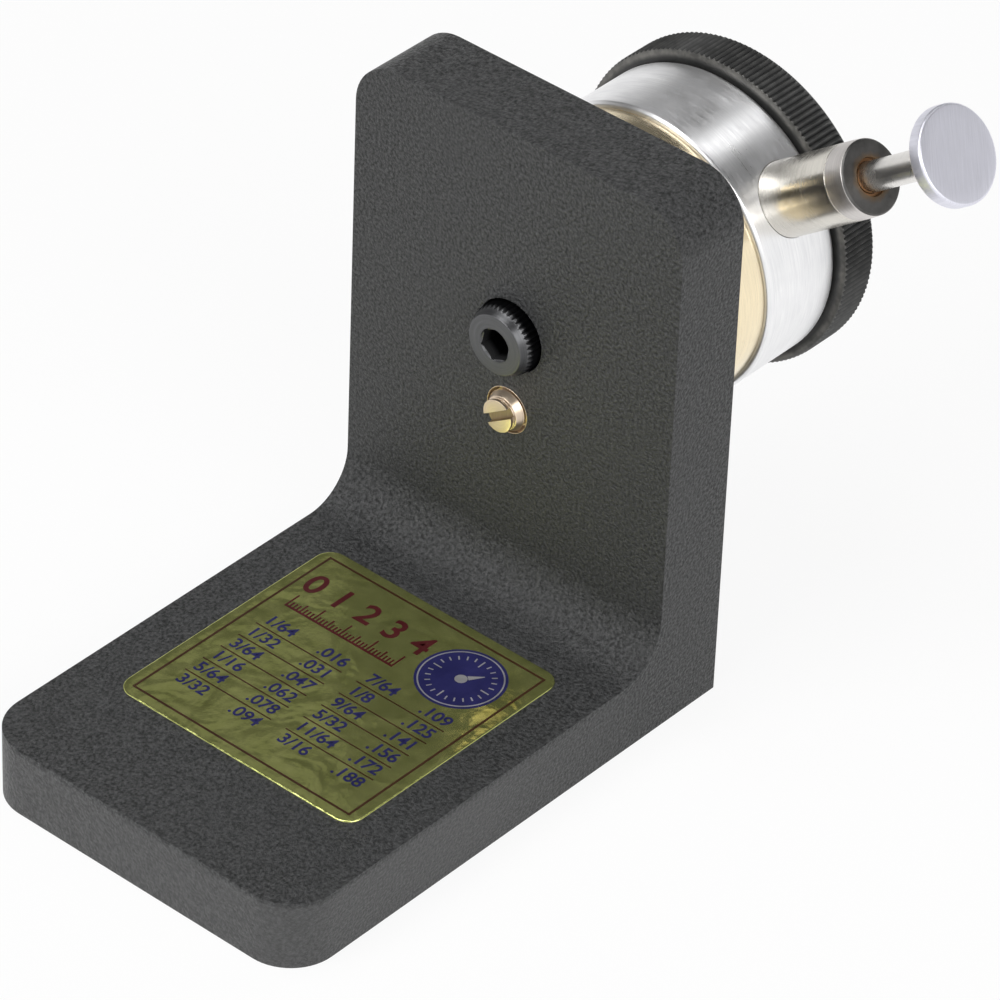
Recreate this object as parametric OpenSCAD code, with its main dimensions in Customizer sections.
// Planer knife setting gauge: an L-shaped bracket that carries a dial indicator on a swivel.
// The origin is the middle of the foot's underside. +X is right and +Z is up as seen from the foot side.
// The upright plate closes the +Y end of the foot.
// The indicator stands behind it with its dial facing +Y.

/* [Bracket] */
// Width of the bracket
bracket_w = 50.8; // [44:0.1:64]
// Depth of the foot, from its front edge to the back of the plate
foot_d = 75.5; // [64:0.1:100]
// Thickness of the foot
foot_t = 9.7; // [7:0.1:14]
// Height of the upright plate
plate_h = 74.4; // [68:0.1:95]
// Thickness of the upright plate
plate_t = 11.1; // [9.5:0.1:15]
// Radius of the rounded corners of plate and foot
corner_r = 6.5; // [3:0.1:10]
// Radius of the fillet between plate and foot
fillet_r = 6.7; // [3:0.1:12]
// Rounding of the long edges of the casting
edge_r = 0.9; // [0.4:0.1:1.5]

/* [Label] */
// Side of the square foil label
label_side = 37.9; // [28:0.1:40]
// Corner radius of the label
label_corner_r = 2.4; // [1:0.1:5]
// Thickness of the foil
label_t = 0.15; // [0.1:0.01:0.3]
// Distance of the label's back edge from the end of the fillet
label_back = 3.4; // [3:0.1:7]

/* [Swivel] */
// Height of the swivel axis above the underside
pivot_h = 45.9; // [42:0.1:50]
// Diameter of the pivot screw's shank
pivot_d = 6.35; // [5:0.05:8]
// Diameter of the pivot screw's head over the knurl
head_d = 9.4; // [9:0.05:11]
// Diameter of the flat at the front of the head
head_face_d = 8; // [7:0.1:8.6]
// Height of the pivot screw's head
head_h = 6.35; // [5.5:0.05:8]
// How far the head stands out of the plate
head_proud = 2.8; // [1:0.1:4]
// Size of the hexagon socket across its flats
socket_af = 3.97; // [3.5:0.01:5.5]
// Depth of the hexagon socket
socket_depth = 3.2; // [2:0.1:4]
// Thickness of the spring washer under the head
spring_washer_t = 0.6; // [0.4:0.1:1]
// Thickness of the friction washer between plate and hub
friction_washer_t = 0.8; // [0.5:0.1:1.2]
// Distance between the back of the plate and the back cover of the indicator
swivel_gap = 8.5; // [8:0.1:14]

/* [Lock screw] */
// Distance of the lock screw below the swivel axis
lock_drop = 10.95; // [10.5:0.05:12]
// Outer diameter of the brass bush
lock_bush_d = 6.4; // [6.2:0.1:7.2]
// Diameter of the brass lock screw
lock_screw_d = 4.4; // [3.8:0.1:4.8]
// How far the lock screw stands out of the plate
lock_proud = 1.8; // [0.5:0.1:3]
// Width of the screwdriver slot
slot_w = 1.2; // [0.8:0.1:1.5]
// Depth of the screwdriver slot
slot_depth = 0.7; // [0.6:0.1:1.5]
// Angle of the slot to the horizontal
slot_angle = 33; // [-90:1:90]

/* [Indicator case] */
// Diameter of the case
case_d = 39.3; // [37:0.1:46]
// Length of the case between back cover and bezel
case_l = 12.5; // [12:0.1:16]
// Wall of the case
case_wall = 1.85; // [1.5:0.05:2.2]
// How far the rim of the back cover stays inside the case's diameter, on each side
cover_step = 0.7; // [0.4:0.05:1.2]
// Height of the back cover's rim behind the case
cover_rim = 5; // [3:0.1:6]
// Thickness of the back cover's floor
cover_floor_t = 1.8; // [1.5:0.1:2.5]
// Length of the back cover's spigot inside the case
cover_spigot = 1.5; // [1:0.1:2]

/* [Bezel] */
// How far the bezel's knurl stands out past the case
bezel_overhang = 1.5; // [1.2:0.05:2.5]
// Width of the bezel
bezel_w = 5.6; // [5.2:0.1:7]
// Distance between two ribs of the bezel's knurl
bezel_knurl_pitch = 0.78; // [0.6:0.02:1.2]
// Depth of the bezel's knurl
bezel_knurl_depth = 0.28; // [0.15:0.01:0.4]
// Chamfer at both ends of the knurl
bezel_chamfer = 0.4; // [0.2:0.05:0.8]
// Thickness of the crystal
crystal_t = 1.2; // [0.8:0.1:1.5]

/* [Stem and spindle] */
// Angle of the stem above the horizontal
stem_angle = 36.2; // [0:0.1:90]
// Distance of the stem axis from the back edge of the case
stem_depth = 7.4; // [7:0.1:8]
// Diameter of the stem
stem_d = 9.5; // [8:0.05:9.8]
// Length of the stem outside the case
stem_out = 14.75; // [10:0.05:19]
// Chamfer of the stem's end
stem_chamfer = 0.4; // [0.2:0.05:0.8]
// Diameter of the spindle
spindle_d = 3.8; // [3.4:0.05:4.2]
// Wall of the bronze bushes that guide the spindle
bush_wall = 0.45; // [0.4:0.05:0.9]
// Diameter of the contact disc
contact_d = 12.3; // [8:0.1:16]
// Thickness of the contact disc
contact_t = 2.05; // [1.4:0.05:3]
// Length of spindle between stem and contact disc with the spindle out
spindle_out = 13.05; // [9:0.05:16]
// Travel of the spindle
travel = 6.35; // [4:0.05:7]

/* [Movement] */
// Distance between two teeth of the rack
rack_pitch = 1.27; // [1.1:0.01:1.4]
// Teeth of the pinion that the rack turns
pinion_teeth = 12; // [11:1:13]
// Teeth of the drive wheel and of the take-up wheel
wheel_teeth = 60; // [54:2:66]
// Teeth of the centre pinion
centre_teeth = 10; // [9:1:11]
// Thickness of the wheels
wheel_t = 0.6; // [0.4:0.05:0.8]
// Thickness of the bottom plate and of the pinion bridge
bottom_plate_t = 0.8; // [0.6:0.05:1]
// Thickness of the top plate
top_plate_t = 0.7; // [0.5:0.05:0.9]
// Length of the pillars between the plates
pillar_l = 2.4; // [2.2:0.05:2.6]
// Wire diameter of the return spring
spring_wire_d = 0.4; // [0.3:0.05:0.45]
// Turns of the return spring
spring_turns = 8; // [5:1:9]

/* [Hidden] */
$fn = 96;
// overshoot of cutting tools past the surface that they cut
cut = 1;

// Fits
// radial clearance of a running fit
run_clear = 0.04;
// radial clearance between fixed pieces that are assembled by hand
slip_clear = 0.02;
// room between pieces that move past each other
move_clear = 0.3;

// Planes along the dial axis, measured from the back of the plate
plate_front_z = -plate_t;
head_front_z = plate_front_z - head_proud;
head_seat_z = head_front_z + head_h;
counterbore_z = head_seat_z + spring_washer_t;
hub_z = friction_washer_t;
cover_z = swivel_gap;
case_z = cover_z + cover_rim;
cover_floor_z = cover_z + cover_floor_t;
cover_inner_z = case_z + cover_spigot;
stem_z = case_z + stem_depth;
case_front_z = case_z + case_l;
spindle_room = 0.4;
bottom_plate_z = stem_z + spindle_d/2 + spindle_room;
bottom_plate_top_z = bottom_plate_z + bottom_plate_t;
wheel_gap = 0.45;
wheel_z = bottom_plate_top_z + wheel_gap;
top_plate_z = bottom_plate_top_z + pillar_l;
top_plate_top_z = top_plate_z + top_plate_t;
bridge_drop = 3.3;
bridge_z = stem_z - bridge_drop;
bezel_gap = 0.25;
bezel_z = case_front_z + bezel_gap;
bezel_front_z = bezel_z + bezel_w;
crystal_sink = 0.4;
crystal_z = bezel_front_z - crystal_sink - crystal_t;
dial_t = 0.5;
pointer_room = 1.6;
dial_z = crystal_z - pointer_room - dial_t;
pointer_t = 0.25;
pointer_lift = 0.55;
pointer_z = dial_z + dial_t + pointer_lift;

// Swivel
pivot_r = pivot_d/2;
head_r = head_d/2;
head_knurl_share = 0.86;
head_knurl_h = head_h*head_knurl_share;
head_ribs = 40;
head_rib_depth = 0.25;
head_nose_step = 0.05;
head_knurl_lead = 0.8;
counterbore_clear = 0.15;
counterbore_r = head_r + counterbore_clear;
hub_flange_margin = 0.85;
hub_flange_r = lock_drop + lock_screw_d/2 + hub_flange_margin;
hub_flange_t = 3.2;
hub_wall = 5.8;
hub_waist_r = pivot_r + hub_wall;
hub_taper = 0.6;
hub_rear_t = 2;
thread_rest = 2.4;
hub_thread_l = swivel_gap - thread_rest;
thread_end_gap = 0.3;
thread_bevel = 0.5;
socket_bevel = 0.3;
washer_clear = 0.15;
hub_screw_r = 1;
hub_screw_head_r = 1.9;
hub_screw_bite = 1.4;
hub_screw_l = cover_floor_t + hub_screw_bite;
hub_screw_out = 1.6;
hub_screw_pcd_r = hub_waist_r + hub_screw_out;
hub_rear_margin = 2.4;
hub_rear_r = hub_screw_pcd_r + hub_rear_margin;
hub_slot_w = 0.5;
hub_slot_depth = 0.4;
hub_screw_angles = [90, 210, 330];
friction_washer_margin = 0.75;
friction_washer_r = lock_drop - lock_screw_d/2 - friction_washer_margin;

// Lock screw
lock_bush_r = lock_bush_d/2;
lock_screw_r = lock_screw_d/2;
lock_mouth_rim = 0.1;
lock_mouth_r = lock_bush_r - lock_mouth_rim;
lock_mouth_depth = 1.2;
lock_mouth_taper = 0.35;
lock_shoulder_r = lock_mouth_r - move_clear;
lock_shoulder_sink = lock_mouth_depth - move_clear;
lock_neck_l = 0.7;
lock_tip_gap = 0.2;
lock_tip_bevel = 0.4;
lock_end_bevel = 0.15;
lock_bush_sink = 0.4;

// Case
case_r = case_d/2;
case_in_r = case_r - case_wall;
case_bevel = 0.35;
neck_wall = 0.7;
neck_r = case_in_r + neck_wall;
neck_l = dial_z - case_front_z - move_clear;
ledge_w = 2.3;
ledge_r = case_in_r - ledge_w;
ledge_t = 0.9;
cover_r = case_r - cover_step;
cover_bevel = 0.3;
cover_wall = 1.2;

// Bezel
bezel_r = case_r + bezel_overhang;
bezel_ribs = floor(2*PI*bezel_r/bezel_knurl_pitch);
bezel_skirt_r = neck_r + run_clear;
dial_inset = 0.3;
dial_r = neck_r - dial_inset;
dial_bore_r = 1.9;
dial_seat_r = dial_r + slip_clear;
lip_w = 0.9;
sight_r = dial_r - lip_w;
crystal_r = dial_r;
crystal_bevel = 0.2;
ring_groove_lift = 0.65;
ring_groove_z = bezel_z + ring_groove_lift;
ring_groove_w = 0.6;
ring_w = 0.5;
ring_inside = 0.3;
ring_outside = 0.35;
ring_in_r = neck_r - ring_inside;
ring_out_r = neck_r + ring_outside;
ring_floor_gap = 0.05;
ring_room = 0.1;
ring_gap_angle = 24;

// Stem and spindle
stem_r = stem_d/2;
spindle_r = spindle_d/2;
bush_bore_r = spindle_r + run_clear;
bush_r = bush_bore_r + bush_wall;
stem_reach = case_r + stem_out;
stem_inner_gap = 0.05;
stem_inner = case_in_r + stem_inner_gap;
stem_bush_l = 7;
stem_bush_sink = 0.5;
contact_r = contact_d/2;
contact_bevel = 0.2;
contact_back = stem_reach + spindle_out;
contact_reach = contact_back + contact_t;
contact_shank_r = 1.1;
contact_shank_l = 4;
contact_shank_gap = 0.3;
upper_bush_out = 3.85;
upper_bush_end = case_r + upper_bush_out;
spindle_tail_out = 2.4;
spindle_tail = case_r + spindle_tail_out;
spindle_bevel = 0.4;
cap_gap = 0.2;
cap_wall = 0.7;
cap_r = bush_r + slip_clear + cap_wall;
cap_room = 0.4;
cap_bore_r = spindle_r + cap_room;
cap_end_room = 1.1;
cap_top_t = 0.8;
cap_end = spindle_tail + travel + cap_end_room + cap_top_t;
cap_bevel = 0.5;
cap_step_gap = 0.1;

stem_room_clear = 0.1;
stem_room_l = 1.5;

// Gear train: addendum and dedendum in modules, and the thinning of each tooth flank
pressure_angle = 20;
addendum = 0.6;
dedendum = 0.9;
flank_thin = 0.03;
mesh_clear = 0.02;
rack_module = rack_pitch/PI;
pinion_pitch_r = rack_module*pinion_teeth/2;
pinion_face = 2.4;
rack_depth = 0.8;
rack_line = spindle_r - rack_depth;
rack_spare = 0.2;
rack_tip = rack_line + addendum*rack_module;
rack_root = rack_line - dedendum*rack_module;
pinion_side = rack_line + pinion_pitch_r + mesh_clear;
wheel_wall_gap = 0.75;
mesh_teeth = (wheel_teeth + centre_teeth)/2;
wheel_module = (case_in_r - wheel_wall_gap)/(mesh_teeth + wheel_teeth/2 + addendum);
mesh_distance = wheel_module*mesh_teeth + mesh_clear;
pinion_s = -sqrt(mesh_distance*mesh_distance - pinion_side*pinion_side);
drive_angle = 180 + atan2(pinion_side, -pinion_s);
take_up_spread = 140;
take_up_angle = drive_angle - take_up_spread;
take_up_place = mesh_distance*[cos(take_up_angle), sin(take_up_angle)];
// a wheel tooth points at the dial axis, where the centre pinion has a gap
drive_phase = drive_angle + 180;
centre_phase = drive_angle + 180/centre_teeth;
take_up_phase = take_up_angle + 180 - 180/wheel_teeth
    - (centre_phase - take_up_angle)*centre_teeth/wheel_teeth;
arbor_r = 0.8;
pivot_pin_r = 0.4;
pointer_arbor_r = 0.5;
arbor_shake = 0.15;
pivot_short = 0.1;
pinion_overlap = 0.1;
wheel_rim = 1.1;
wheel_hub_r = 2;
wheel_spokes = 4;
spoke_w = 1;

// Movement plates
plate_edge_gap = 0.2;
plate_edge_r = case_in_r - plate_edge_gap;
top_plate_inset = 3;
top_plate_r = case_in_r - top_plate_inset;
free_angle = drive_angle - take_up_spread/2;
pillar_angles = [free_angle, free_angle + 157, free_angle + 202];
pillar_inset = 4.8;
pillar_place_r = case_in_r - pillar_inset;
pillar_r = 1.3;
tenon_r = 0.8;
small_screw_r = 0.6;
small_head_r = 1.05;
small_head_h = 0.35;
small_slot_w = 0.3;
pillar_screw_l = 1.2;
pillar_hole_l = 1.8;
edge_screw_angles = [free_angle, free_angle + 122, free_angle + 180];
edge_screw_inset = 1.25;
edge_screw_place_r = case_in_r - edge_screw_inset;
edge_screw_l = 0.7;
bridge_arm_spare = 2.8;
bridge_arm = pinion_pitch_r + bridge_arm_spare;
bridge_screw_l = 2;
bridge_hole_l = 2.4;
bridge_post_w = 3;
bridge_width = 3;

// Spindle guide and return spring
guide_s = 4;
guide_pin_r = 0.5;
rail_room = 1.1;
rail_side = spindle_r + rail_room;
rail_t = 0.9;
rail_slot_clear = 0.05;
rail_slot_half = guide_pin_r + rail_slot_clear;
rail_margin = 1.2;
rail_low = guide_s - travel - guide_pin_r - rail_margin;
rail_high = guide_s + guide_pin_r + rail_margin;
rail_drop = 2.6;
rail_flange_w = 3.6;
rail_flange_t = 0.6;
rail_screw_out = 1.7;
rail_screw_in = 1.2;
rail_screw_short = 0.1;
spring_side = rail_side + rail_t + rail_screw_out;
spring_coil_r = 1.1;
spring_post_gap = 1;
spring_post_s = sqrt(ledge_r*ledge_r - spring_side*spring_side) - spring_post_gap;
spring_post_r = 0.5;
spring_end_gap = 0.3;
spring_start = guide_s + guide_pin_r + spring_end_gap;
spring_end = spring_post_s - spring_post_r - spring_end_gap;
guide_pin_spare = 0.8;
guide_pin_end = spring_side + guide_pin_spare;

// Hairspring
hair_in_r = 1.1;
hair_turns = 4;
hair_pitch = 0.75;
hair_strip = 0.14;
hair_lift = 0.35;
hair_z = wheel_z + wheel_t + hair_lift;
hair_w = 0.4;
hair_out_r = hair_in_r + hair_turns*hair_pitch;
stud_r = 0.4;
stud_away = hair_out_r + hair_strip + stud_r + move_clear;

// Pointer
pointer_short = 2.4;
pointer_tail = 5;
pointer_hub_r = 1.6;
pointer_tip_half = 0.12;
pointer_root_half = 0.55;
pointer_tail_half = 1.1;

// Frames
// +Z of the child runs along the dial axis from the back of the plate, and +X along the stem
module in_dial() {
    translate([0, foot_d/2, pivot_h])
        rotate([0, -stem_angle, 0])
            rotate([-90, 0, 0])
                children();
}

// As in_dial, but not turned to the stem: +X of the child stays +X of the object
module behind_plate() {
    translate([0, foot_d/2, pivot_h])
        rotate([-90, 0, 0])
            children();
}

// +Z of the child runs out along the stem axis from the dial axis
module along_stem() {
    in_dial()
        translate([0, 0, stem_z])
            rotate([0, 90, 0])
                children();
}

// Shapes that several pieces share
module turned(profile) {
    rotate_extrude()
        polygon(profile);
}

module tube(outer_r, inner_r, low, high) {
    translate([0, 0, low])
        linear_extrude(high - low)
            difference() {
                circle(outer_r);
                circle(inner_r);
            }
}

module rod(r, low, high) {
    translate([0, 0, low])
        cylinder(r = r, h = high - low);
}

module rounded_square(width, height, r) {
    union() {
        translate([-width/2 + r, -height/2])
            square([width - 2*r, height]);
        translate([-width/2, -height/2 + r])
            square([width, height - 2*r]);
        for (x = [-1, 1], y = [-1, 1])
            translate([x*(width/2 - r), y*(height/2 - r)])
                circle(r);
    }
}

// What is cut off a square corner at the origin, with material on the -x, -y side, to round it
module corner_waste(r) {
    difference() {
        translate([-r, -r])
            square(r + cut);
        translate([-r, -r])
            circle(r);
    }
}

function ribbed_circle(r, depth, ribs) = [
    for (i = [0 : 2*ribs - 1])
        let (a = i*180/ribs, rr = r - depth*(i % 2))
            rr*[cos(a), sin(a)]
];

// Involute teeth: half the angle that a tooth spans at radius r
function involute(a) = tan(a)*180/PI - a;
function flank_angle(r, base_r) = acos(min(1, base_r/r));
function half_tooth(r, pitch_r, teeth) =
    let (base_r = pitch_r*cos(pressure_angle))
        90/teeth - flank_thin/pitch_r*180/PI
        + involute(pressure_angle) - involute(flank_angle(r, base_r));

function gear_outline(teeth, module_mm, phase) =
    let (
        pitch_r = module_mm*teeth/2,
        tip_r = pitch_r + addendum*module_mm,
        root_r = pitch_r - dedendum*module_mm,
        base_r = pitch_r*cos(pressure_angle),
        radii = base_r > root_r
            ? [root_r, base_r, (base_r + tip_r)/2, tip_r]
            : [root_r, (root_r + tip_r)/2, tip_r],
        count = len(radii)
    ) [
        for (i = [0 : teeth - 1])
            for (k = [0 : 2*count - 1])
                let (
                    r = k < count ? radii[k] : radii[2*count - 1 - k],
                    side = k < count ? -1 : 1,
                    a = phase + i*360/teeth + side*half_tooth(r, pitch_r, teeth)
                ) r*[cos(a), sin(a)]
    ];

module wheel(phase, bore_r) {
    root_r = wheel_module*(wheel_teeth/2 - dedendum);
    linear_extrude(wheel_t)
        difference() {
            polygon(gear_outline(wheel_teeth, wheel_module, phase));
            difference() {
                circle(root_r - wheel_rim);
                circle(wheel_hub_r);
                for (i = [0 : wheel_spokes/2 - 1])
                    rotate(i*360/wheel_spokes)
                        square([2*root_r, spoke_w], center = true);
            }
            circle(bore_r);
        }
}

module small_screw(length) {
    union() {
        difference() {
            cylinder(r = small_head_r, h = small_head_h);
            translate([0, 0, small_head_h])
                cube([3*small_head_r, small_slot_w, small_head_h], center = true);
        }
        rod(small_screw_r - slip_clear, -length, 0);
    }
}

module at_angles(angles, r, z) {
    for (a = angles)
        rotate(a)
            translate([r, 0, z])
                children();
}

module at_pinion(z) {
    translate([pinion_s, -pinion_side, z])
        children();
}

module at_take_up(z) {
    translate([take_up_place[0], take_up_place[1], z])
        children();
}

// Bracket
module side_profile() {
    difference() {
        square([foot_d, plate_h]);
        difference() {
            translate([-cut, foot_t])
                square([foot_d - plate_t + cut, plate_h]);
            translate([foot_d - plate_t - fillet_r, foot_t])
                difference() {
                    square(fillet_r);
                    translate([0, fillet_r])
                        circle(fillet_r);
                }
        }
        translate([0, foot_t])
            mirror([1, 0])
                corner_waste(edge_r);
        translate([foot_d, plate_h])
            corner_waste(edge_r);
        translate([foot_d - plate_t, plate_h])
            mirror([1, 0])
                corner_waste(edge_r);
    }
}

module front_outline() {
    difference() {
        translate([-bracket_w/2, 0])
            square([bracket_w, plate_h]);
        for (side = [0, 1])
            mirror([side, 0])
                translate([bracket_w/2, plate_h])
                    corner_waste(corner_r);
    }
}

module foot_outline() {
    difference() {
        translate([-bracket_w/2, -foot_d/2])
            square([bracket_w, foot_d]);
        for (side = [0, 1])
            mirror([side, 0])
                translate([bracket_w/2, -foot_d/2])
                    mirror([0, 1])
                        corner_waste(corner_r);
    }
}

module bracket() {
    color("#3c3d3f")
        difference() {
            intersection() {
                translate([-bracket_w/2, -foot_d/2, 0])
                    rotate([90, 0, 90])
                        linear_extrude(bracket_w)
                            side_profile();
                translate([0, foot_d/2 + cut, 0])
                    rotate([90, 0, 0])
                        linear_extrude(foot_d + 2*cut)
                            front_outline();
                translate([0, 0, -cut])
                    linear_extrude(plate_h + 2*cut)
                        foot_outline();
            }
            behind_plate() {
                rod(pivot_r + run_clear, plate_front_z - cut, cut);
                rod(counterbore_r, plate_front_z - cut, counterbore_z);
                translate([0, lock_drop, 0])
                    rod(lock_bush_r, plate_front_z - cut, cut);
            }
        }
}

module foil_label() {
    color("#b7a552")
        translate([0, foot_d/2 - plate_t - fillet_r - label_back - label_side/2, foot_t])
            linear_extrude(label_t)
                rounded_square(label_side, label_side, label_corner_r);
}

// Swivel
module pivot_screw() {
    nose_r = head_r - head_rib_depth - head_nose_step;
    knurl_start_z = head_seat_z - head_knurl_h;
    color("#2b2c2e")
        in_dial()
            difference() {
                union() {
                    intersection() {
                        translate([0, 0, knurl_start_z])
                            linear_extrude(head_knurl_h)
                                polygon(ribbed_circle(head_r, head_rib_depth, head_ribs));
                        turned([
                            [0, knurl_start_z],
                            [nose_r, knurl_start_z],
                            [head_r + cut, knurl_start_z + head_knurl_lead],
                            [head_r + cut, head_seat_z],
                            [0, head_seat_z]
                        ]);
                    }
                    turned([
                        [0, head_front_z],
                        [head_face_d/2, head_front_z],
                        [nose_r, knurl_start_z],
                        [pivot_r, knurl_start_z + cut],
                        [pivot_r, hub_thread_l - thread_bevel],
                        [pivot_r - thread_bevel, hub_thread_l],
                        [0, hub_thread_l]
                    ]);
                }
                translate([0, 0, head_front_z])
                    cylinder(d = socket_af/cos(30), h = 2*socket_depth, center = true, $fn = 6);
                translate([0, 0, head_front_z - cut])
                    cylinder(
                        r1 = socket_af/2 + socket_bevel + cut,
                        r2 = socket_af/2 + socket_bevel - cut,
                        h = 2*cut
                    );
            }
}

module spring_washer() {
    color("#8d9094")
        in_dial()
            tube(head_r - counterbore_clear, pivot_r + washer_clear, head_seat_z, counterbore_z);
}

module friction_washer() {
    color("#d8d3c4")
        in_dial()
            tube(friction_washer_r, pivot_r + washer_clear, 0, friction_washer_t);
}

module swivel_hub() {
    flange_top_z = hub_z + hub_flange_t;
    rear_z = cover_z - hub_rear_t;
    color("#a9abae")
        in_dial()
            difference() {
                turned([
                    [0, hub_z],
                    [hub_flange_r, hub_z],
                    [hub_flange_r, flange_top_z],
                    [hub_waist_r, flange_top_z + hub_taper],
                    [hub_waist_r, rear_z - hub_taper],
                    [hub_rear_r, rear_z],
                    [hub_rear_r, cover_z],
                    [0, cover_z]
                ]);
                rod(pivot_r + slip_clear, hub_z - cut, hub_thread_l + thread_end_gap);
                at_angles(hub_screw_angles, hub_screw_pcd_r, cover_z)
                    rod(hub_screw_r, -hub_screw_bite - thread_end_gap, cut);
            }
}

module hub_screw_shape(grow) {
    union() {
        rod(hub_screw_r - slip_clear + grow, -hub_screw_l, 0);
        translate([0, 0, -hub_screw_head_r + hub_screw_r])
            cylinder(
                r1 = hub_screw_r - slip_clear + grow,
                r2 = hub_screw_head_r - slip_clear + grow,
                h = hub_screw_head_r - hub_screw_r
            );
    }
}

module hub_screws() {
    color("#8d9094")
        in_dial()
            at_angles(hub_screw_angles, hub_screw_pcd_r, cover_floor_z)
                difference() {
                    hub_screw_shape(0);
                    cube([3*hub_screw_head_r, hub_slot_w, 2*hub_slot_depth], center = true);
                }
}

// Lock screw
module at_lock() {
    behind_plate()
        translate([0, lock_drop, 0])
            children();
}

module lock_bush() {
    bore_r = lock_screw_r + run_clear;
    seat_z = plate_front_z + lock_mouth_depth;
    color("#c2a35a")
        at_lock()
            turned([
                [bore_r, seat_z],
                [lock_mouth_r - lock_mouth_taper, seat_z],
                [lock_mouth_r, plate_front_z],
                [lock_bush_r, plate_front_z],
                [lock_bush_r, -lock_bush_sink],
                [bore_r, -lock_bush_sink]
            ]);
}

module lock_screw() {
    front_z = plate_front_z - lock_proud;
    shoulder_z = plate_front_z + lock_shoulder_sink;
    tip_z = hub_z - lock_tip_gap;
    color("#c9ac63")
        at_lock()
            difference() {
                turned([
                    [0, front_z],
                    [lock_screw_r - lock_end_bevel, front_z],
                    [lock_screw_r, front_z + lock_end_bevel],
                    [lock_screw_r, front_z + lock_neck_l],
                    [lock_shoulder_r, plate_front_z],
                    [lock_shoulder_r - lock_mouth_taper, shoulder_z],
                    [lock_screw_r, shoulder_z],
                    [lock_screw_r, tip_z - lock_tip_bevel],
                    [lock_screw_r - lock_tip_bevel, tip_z],
                    [0, tip_z]
                ]);
                rotate(-slot_angle)
                    translate([0, 0, front_z])
                        cube([2*lock_screw_d, slot_w, 2*slot_depth], center = true);
            }
}

// Indicator case
module back_cover() {
    spigot_r = case_in_r - slip_clear;
    color("#c3a55c")
        in_dial()
            difference() {
                turned([
                    [0, cover_z],
                    [cover_r - cover_bevel, cover_z],
                    [cover_r, cover_z + cover_bevel],
                    [cover_r, case_z],
                    [spigot_r, case_z],
                    [spigot_r, cover_inner_z],
                    [spigot_r - cover_wall, cover_inner_z],
                    [spigot_r - cover_wall, cover_floor_z],
                    [0, cover_floor_z]
                ]);
                at_angles(hub_screw_angles, hub_screw_pcd_r, cover_floor_z)
                    hub_screw_shape(slip_clear);
                at_angles(hub_screw_angles, hub_screw_pcd_r, cover_floor_z)
                    rod(hub_screw_head_r, 0, cut);
            }
}

module case() {
    groove_high_z = ring_groove_z + ring_groove_w;
    color("#c9cacc")
        difference() {
            in_dial()
                turned([
                    [case_in_r, case_z],
                    [case_r - case_bevel, case_z],
                    [case_r, case_z + case_bevel],
                    [case_r, case_front_z - case_bevel],
                    [case_r - case_bevel, case_front_z],
                    [neck_r, case_front_z],
                    [neck_r, ring_groove_z],
                    [ring_in_r - ring_floor_gap, ring_groove_z],
                    [ring_in_r - ring_floor_gap, groove_high_z],
                    [neck_r, groove_high_z],
                    [neck_r, case_front_z + neck_l],
                    [case_in_r, case_front_z + neck_l],
                    [case_in_r, bottom_plate_z],
                    [ledge_r, bottom_plate_z],
                    [ledge_r, bottom_plate_z - ledge_t],
                    [case_in_r, bottom_plate_z - ledge_t]
                ]);
            along_stem() {
                rod(stem_r + slip_clear, ledge_r/2, case_r + cut);
                rod(bush_r, -case_r - cut, -ledge_r/2);
            }
            in_dial()
                at_angles(edge_screw_angles, edge_screw_place_r, bottom_plate_z)
                    rod(small_screw_r, -ledge_t - cut, cut);
        }
}

module stem() {
    color("#b4b1ab")
        along_stem()
            turned([
                [bush_r, stem_inner],
                [stem_r, stem_inner],
                [stem_r, stem_reach - stem_chamfer],
                [stem_r - stem_chamfer, stem_reach],
                [bush_r, stem_reach]
            ]);
}

module stem_bush() {
    color("#a8672f")
        along_stem()
            tube(bush_r - slip_clear, bush_bore_r, stem_reach - stem_bush_l, stem_reach - stem_bush_sink);
}

module upper_bush() {
    color("#a8672f")
        along_stem()
            tube(bush_r - slip_clear, bush_bore_r, -upper_bush_end, -stem_inner);
}

module dust_cap() {
    start = case_r + cap_gap;
    color("#b4b1ab")
        along_stem()
            turned([
                [bush_r + slip_clear, -start],
                [cap_r, -start],
                [cap_r, -cap_end + cap_bevel],
                [cap_r - cap_bevel, -cap_end],
                [0, -cap_end],
                [0, -cap_end + cap_top_t],
                [cap_bore_r, -cap_end + cap_top_t],
                [cap_bore_r, -upper_bush_end - cap_step_gap],
                [bush_r + slip_clear, -upper_bush_end - cap_step_gap]
            ]);
}

// Spindle
module rack_gap() {
    half_root = rack_pitch/4 + flank_thin - dedendum*rack_module*tan(pressure_angle);
    half_mouth = half_root + (spindle_r - rack_root)*tan(pressure_angle);
    translate([0, 0, -spindle_d])
        linear_extrude(2*spindle_d)
            polygon([
                [-half_root, -rack_root],
                [half_root, -rack_root],
                [half_mouth, -spindle_r],
                [-half_mouth, -spindle_r]
            ]);
}

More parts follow.
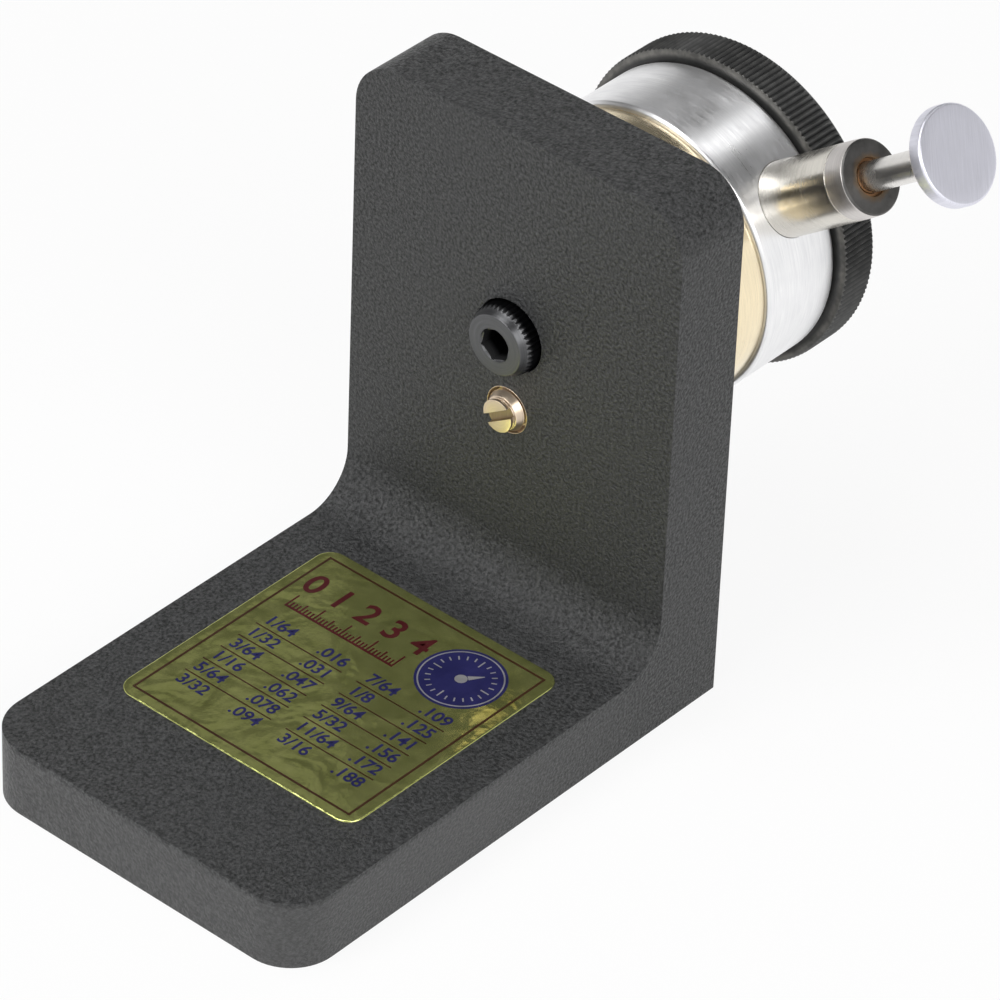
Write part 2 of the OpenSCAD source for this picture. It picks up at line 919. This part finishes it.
module spindle() {
    flat_reach = pinion_pitch_r + rack_spare;
    flat_low = pinion_s - flat_reach;
    flat_high = pinion_s + travel + flat_reach;
    first_gap = -floor((flat_reach - rack_pitch/2)/rack_pitch);
    last_gap = floor((travel + flat_reach - rack_pitch/2)/rack_pitch);
    color("#c4c2bd")
        difference() {
            along_stem()
                turned([
                    [0, -spindle_tail],
                    [spindle_r - spindle_bevel, -spindle_tail],
                    [spindle_r, -spindle_tail + spindle_bevel],
                    [spindle_r, contact_back],
                    [0, contact_back]
                ]);
            along_stem()
                rod(
                    contact_shank_r + slip_clear,
                    contact_back - contact_shank_l - contact_shank_gap,
                    contact_back + cut
                );
            in_dial()
                translate([0, 0, stem_z]) {
                    translate([flat_low, -rack_tip - spindle_d, -spindle_d])
                        cube([flat_high - flat_low, spindle_d, 2*spindle_d]);
                    for (k = [first_gap : last_gap])
                        translate([pinion_s + k*rack_pitch, 0, 0])
                            rack_gap();
                    translate([guide_s, 0, 0])
                        rotate([-90, 0, 0])
                            rod(guide_pin_r + slip_clear, -rack_root, spindle_d);
                }
        }
}

module contact_disc() {
    color("#cfcdd2")
        along_stem()
            turned([
                [0, contact_back - contact_shank_l],
                [contact_shank_r, contact_back - contact_shank_l],
                [contact_shank_r, contact_back],
                [contact_r - contact_bevel, contact_back],
                [contact_r, contact_back + contact_bevel],
                [contact_r, contact_reach - contact_bevel],
                [contact_r - contact_bevel, contact_reach],
                [0, contact_reach]
            ]);
}

module guide_pin() {
    color("#8d9094")
        in_dial()
            translate([guide_s, 0, stem_z])
                rotate([-90, 0, 0])
                    rod(guide_pin_r, 0, guide_pin_end);
}

module rail_screw_places(z) {
    for (s = [rail_low + rail_screw_in, rail_high - rail_screw_in])
        translate([s, rail_side + rail_t + rail_screw_out, z])
            children();
}

module guide_rail() {
    slot_low = guide_s - travel - rail_slot_half;
    slot_high = guide_s + rail_slot_half;
    color("#b79b55")
        in_dial()
            difference() {
                union() {
                    translate([rail_low, rail_side, stem_z - rail_drop])
                        cube([rail_high - rail_low, rail_t, bottom_plate_z - stem_z + rail_drop]);
                    translate([rail_low, rail_side, bottom_plate_z - rail_flange_t])
                        cube([rail_high - rail_low, rail_flange_w, rail_flange_t]);
                }
                translate([slot_low, rail_side - cut, stem_z - rail_slot_half])
                    cube([slot_high - slot_low, rail_t + 2*cut, 2*rail_slot_half]);
                rail_screw_places(bottom_plate_z)
                    rod(small_screw_r, -rail_flange_t - cut, cut);
            }
}

module rail_screws() {
    color("#8d9094")
        in_dial()
            rail_screw_places(bottom_plate_top_z)
                small_screw(bottom_plate_t + rail_flange_t - rail_screw_short);
}

// Return spring: one unbroken wire, coiled between the guide pin and the spring post
spring_rings_per_turn = 8;
spring_rings = spring_turns*spring_rings_per_turn;
spring_sides = 6;

function spring_point(i) =
    let (a = i*360/spring_rings_per_turn)
        [
            spring_start + (spring_end - spring_start)*i/spring_rings,
            spring_coil_r*cos(a),
            spring_coil_r*sin(a)
        ];

function spring_ring(i) =
    let (a = i*360/spring_rings_per_turn, centre = spring_point(i))
        [
            for (k = [0 : spring_sides - 1])
                let (b = k*360/spring_sides, out = spring_wire_d/2*cos(b))
                    centre + [spring_wire_d/2*sin(b), out*cos(a), out*sin(a)]
        ];

module return_spring() {
    points = [for (i = [0 : spring_rings]) for (p = spring_ring(i)) p];
    walls = [
        for (i = [0 : spring_rings - 1])
            for (k = [0 : spring_sides - 1])
                let (
                    next = (k + 1) % spring_sides,
                    a = i*spring_sides + k,
                    b = i*spring_sides + next
                )
                    for (face = [[a, b, b + spring_sides], [a, b + spring_sides, a + spring_sides]])
                        face
    ];
    ends = [
        for (k = [1 : spring_sides - 2])
            for (face = [
                [0, k + 1, k],
                [spring_rings*spring_sides, spring_rings*spring_sides + k, spring_rings*spring_sides + k + 1]
            ])
                face
    ];
    pitch = (spring_end - spring_start)/spring_turns;
    echo(return_spring_gap = pitch - spring_wire_d);
    color("#9a9da1")
        in_dial()
            translate([0, spring_side, stem_z])
                polyhedron(points, concat(walls, ends));
}

module spring_post() {
    color("#8d9094")
        in_dial()
            translate([spring_post_s, spring_side, 0])
                rod(spring_post_r, stem_z - spring_coil_r, bottom_plate_top_z);
}

// Movement plates
module bottom_plate() {
    passage_r = rack_module*(pinion_teeth/2 + addendum) + move_clear;
    color("#c8b678")
        in_dial()
            difference() {
                rod(plate_edge_r, bottom_plate_z, bottom_plate_top_z);
                at_angles(edge_screw_angles, edge_screw_place_r, bottom_plate_z)
                    rod(small_screw_r, -cut, bottom_plate_t + cut);
                at_angles(pillar_angles, pillar_place_r, bottom_plate_z)
                    rod(tenon_r, -cut, bottom_plate_t + cut);
                rail_screw_places(bottom_plate_z)
                    rod(small_screw_r, -cut, bottom_plate_t + cut);
                at_pinion(bottom_plate_z)
                    rod(passage_r, -cut, bottom_plate_t + cut);
                at_pinion(bottom_plate_z)
                    translate([0, -bridge_arm, 0])
                        rod(small_screw_r, -cut, bottom_plate_t + cut);
                at_take_up(bottom_plate_z)
                    rod(pivot_pin_r + run_clear, -cut, bottom_plate_t + cut);
                rod(pivot_pin_r + run_clear, bottom_plate_z - cut, bottom_plate_top_z + cut);
                translate([spring_post_s, spring_side, bottom_plate_z])
                    rod(spring_post_r, -cut, bottom_plate_t + cut);
                stem_room();
            }
}

// Room for the stem's inner end in the bottom plate
module stem_room() {
    translate([0, 0, stem_z])
        rotate([0, 90, 0])
            rod(stem_r + stem_room_clear, stem_inner - stem_room_l, case_r);
}

module bottom_plate_screws() {
    color("#8d9094")
        in_dial()
            at_angles(edge_screw_angles, edge_screw_place_r, bottom_plate_top_z)
                small_screw(bottom_plate_t + edge_screw_l);
}

module pillars() {
    color("#c8b678")
        in_dial()
            at_angles(pillar_angles, pillar_place_r, 0)
                difference() {
                    union() {
                        rod(pillar_r, bottom_plate_top_z, top_plate_z);
                        rod(tenon_r, bottom_plate_z + pivot_short, bottom_plate_top_z);
                    }
                    rod(small_screw_r, top_plate_z - pillar_hole_l, top_plate_z + cut);
                }
}

module top_plate() {
    color("#c8b678")
        in_dial()
            difference() {
                rod(top_plate_r, top_plate_z, top_plate_top_z);
                at_angles(pillar_angles, pillar_place_r, top_plate_z)
                    rod(small_screw_r, -cut, top_plate_t + cut);
                at_pinion(top_plate_z)
                    rod(pivot_pin_r + run_clear, -cut, top_plate_t + cut);
                at_take_up(top_plate_z)
                    rod(pivot_pin_r + run_clear, -cut, top_plate_t + cut);
                at_take_up(top_plate_z)
                    translate([stud_away, 0, 0])
                        rod(stud_r, -cut, top_plate_t + cut);
                rod(pointer_arbor_r + run_clear, top_plate_z - cut, top_plate_top_z + cut);
            }
}

module top_plate_screws() {
    color("#8d9094")
        in_dial()
            at_angles(pillar_angles, pillar_place_r, top_plate_top_z)
                small_screw(top_plate_t + pillar_screw_l);
}

module pinion_bridge() {
    color("#c8b678")
        in_dial()
            at_pinion(0)
                difference() {
                    union() {
                        rod(bridge_width/2, bridge_z, bridge_z + bottom_plate_t);
                        translate([-bridge_width/2, -bridge_arm - bridge_post_w/2, bridge_z])
                            cube([bridge_width, bridge_arm + bridge_post_w/2, bottom_plate_t]);
                        translate([-bridge_post_w/2, -bridge_arm - bridge_post_w/2, bridge_z])
                            cube([bridge_post_w, bridge_post_w, bottom_plate_z - bridge_z]);
                    }
                    rod(pivot_pin_r + run_clear, bridge_z - cut, bridge_z + bottom_plate_t + cut);
                    translate([0, -bridge_arm, 0])
                        rod(small_screw_r, bottom_plate_z - bridge_hole_l, bottom_plate_z + cut);
                }
}

module bridge_screw() {
    color("#8d9094")
        in_dial()
            at_pinion(bottom_plate_top_z)
                translate([0, -bridge_arm, 0])
                    small_screw(bottom_plate_t + bridge_screw_l);
}

// Gear train
module rack_pinion() {
    face_low = stem_z - pinion_face/2;
    body_low = bridge_z + bottom_plate_t + arbor_shake;
    body_high = top_plate_z - arbor_shake;
    color("#b9bbbd")
        in_dial()
            at_pinion(0)
                union() {
                    translate([0, 0, face_low])
                        linear_extrude(pinion_face)
                            polygon(gear_outline(pinion_teeth, rack_module, 90));
                    rod(arbor_r, body_low, body_high);
                    rod(pivot_pin_r, bridge_z + pivot_short, top_plate_top_z - pivot_short);
                }
}

module drive_wheel() {
    color("#cdb161")
        in_dial()
            at_pinion(wheel_z)
                wheel(drive_phase, arbor_r);
}

module centre_pinion() {
    body_low = bottom_plate_top_z + arbor_shake;
    body_high = top_plate_z - arbor_shake;
    color("#b9bbbd")
        in_dial()
            union() {
                translate([0, 0, wheel_z - pinion_overlap])
                    linear_extrude(wheel_t + 2*pinion_overlap)
                        polygon(gear_outline(centre_teeth, wheel_module, centre_phase));
                rod(arbor_r, body_low, body_high);
                rod(pivot_pin_r, bottom_plate_z + pivot_short, body_low);
                rod(pointer_arbor_r, body_high, pointer_z + pointer_t + pivot_short);
            }
}

module take_up_wheel() {
    body_low = bottom_plate_top_z + arbor_shake;
    body_high = top_plate_z - arbor_shake;
    color("#cdb161")
        in_dial()
            at_take_up(0)
                union() {
                    translate([0, 0, wheel_z])
                        wheel(take_up_phase, arbor_r/2);
                    rod(arbor_r, body_low, body_high);
                    rod(pivot_pin_r, bottom_plate_z + pivot_short, top_plate_top_z - pivot_short);
                }
}

function hair_point(i, steps, offset) =
    let (
        a = i*360*hair_turns/steps,
        r = hair_in_r + hair_pitch*hair_turns*i/steps + offset
    ) r*[cos(a), sin(a)];

module hairspring() {
    steps = hair_turns*16;
    outline = concat(
        [for (i = [0 : steps]) hair_point(i, steps, hair_strip/2)],
        [for (i = [steps : -1 : 0]) hair_point(i, steps, -hair_strip/2)]
    );
    echo(hairspring_gap = hair_pitch - hair_strip);
    color("#7d8aa0")
        in_dial()
            at_take_up(hair_z)
                union() {
                    linear_extrude(hair_w)
                        polygon(outline);
                    tube(hair_in_r, arbor_r + slip_clear, 0, hair_w);
                }
}

module hairspring_stud() {
    color("#8d9094")
        in_dial()
            at_take_up(0)
                translate([stud_away, 0, 0])
                    rod(stud_r, hair_z - pivot_short, top_plate_top_z);
}

// Dial
module pointer() {
    point_r = sight_r - pointer_short;
    color("#1b1b1c")
        in_dial()
            translate([0, 0, pointer_z])
                linear_extrude(pointer_t)
                    difference() {
                        union() {
                            circle(pointer_hub_r);
                            polygon([
                                [-point_r, -pointer_tip_half],
                                [-pointer_hub_r, -pointer_root_half],
                                [pointer_tail, -pointer_tail_half],
                                [pointer_tail, pointer_tail_half],
                                [-pointer_hub_r, pointer_root_half],
                                [-point_r, pointer_tip_half]
                            ]);
                        }
                        circle(pointer_arbor_r);
                    }
}

module dial_face() {
    color("#f1f0ea")
        in_dial()
            tube(dial_r, dial_bore_r, dial_z, dial_z + dial_t);
}

module bezel() {
    lip_z = dial_z + dial_t;
    groove_low_z = ring_groove_z - ring_room;
    groove_high_z = ring_groove_z + ring_groove_w + ring_room;
    groove_r = ring_out_r + ring_room;
    crown_r = bezel_r - bezel_chamfer;
    color("#232425")
        in_dial()
            difference() {
                intersection() {
                    translate([0, 0, bezel_z])
                        linear_extrude(bezel_w)
                            polygon(ribbed_circle(bezel_r, bezel_knurl_depth, bezel_ribs));
                    turned([
                        [0, bezel_z],
                        [bezel_r - bezel_chamfer/2, bezel_z],
                        [bezel_r + cut, bezel_z + bezel_chamfer/2 + cut],
                        [bezel_r + cut, bezel_front_z - bezel_chamfer - cut],
                        [crown_r, bezel_front_z],
                        [0, bezel_front_z]
                    ]);
                }
                turned([
                    [0, bezel_z - cut],
                    [bezel_skirt_r, bezel_z - cut],
                    [bezel_skirt_r, groove_low_z],
                    [groove_r, groove_low_z],
                    [groove_r, groove_high_z],
                    [bezel_skirt_r, groove_high_z],
                    [bezel_skirt_r, dial_z],
                    [dial_seat_r, dial_z],
                    [dial_seat_r, lip_z],
                    [sight_r, lip_z],
                    [sight_r, crystal_z],
                    [crystal_r + slip_clear, crystal_z],
                    [crystal_r + slip_clear, bezel_front_z + cut],
                    [0, bezel_front_z + cut]
                ]);
            }
}

module bezel_ring() {
    low_z = ring_groove_z + (ring_groove_w - ring_w)/2;
    color("#8d9094")
        in_dial()
            translate([0, 0, low_z])
                rotate_extrude(angle = 360 - ring_gap_angle)
                    translate([ring_in_r, 0])
                        square([ring_out_r - ring_in_r, ring_w]);
}

module crystal() {
    color("#dfe9ec", 0.35)
        in_dial()
            turned([
                [0, crystal_z],
                [crystal_r, crystal_z],
                [crystal_r, crystal_z + crystal_t - crystal_bevel],
                [crystal_r - crystal_bevel, crystal_z + crystal_t],
                [0, crystal_z + crystal_t]
            ]);
}

bracket();
foil_label();
pivot_screw();
spring_washer();
friction_washer();
swivel_hub();
hub_screws();
lock_bush();
lock_screw();
back_cover();
case();
stem();
stem_bush();
upper_bush();
dust_cap();
spindle();
contact_disc();
guide_pin();
guide_rail();
rail_screws();
return_spring();
spring_post();
bottom_plate();
bottom_plate_screws();
pillars();
top_plate();
top_plate_screws();
pinion_bridge();
bridge_screw();
rack_pinion();
drive_wheel();
centre_pinion();
take_up_wheel();
hairspring();
hairspring_stud();
pointer();
dial_face();
bezel();
bezel_ring();
crystal();
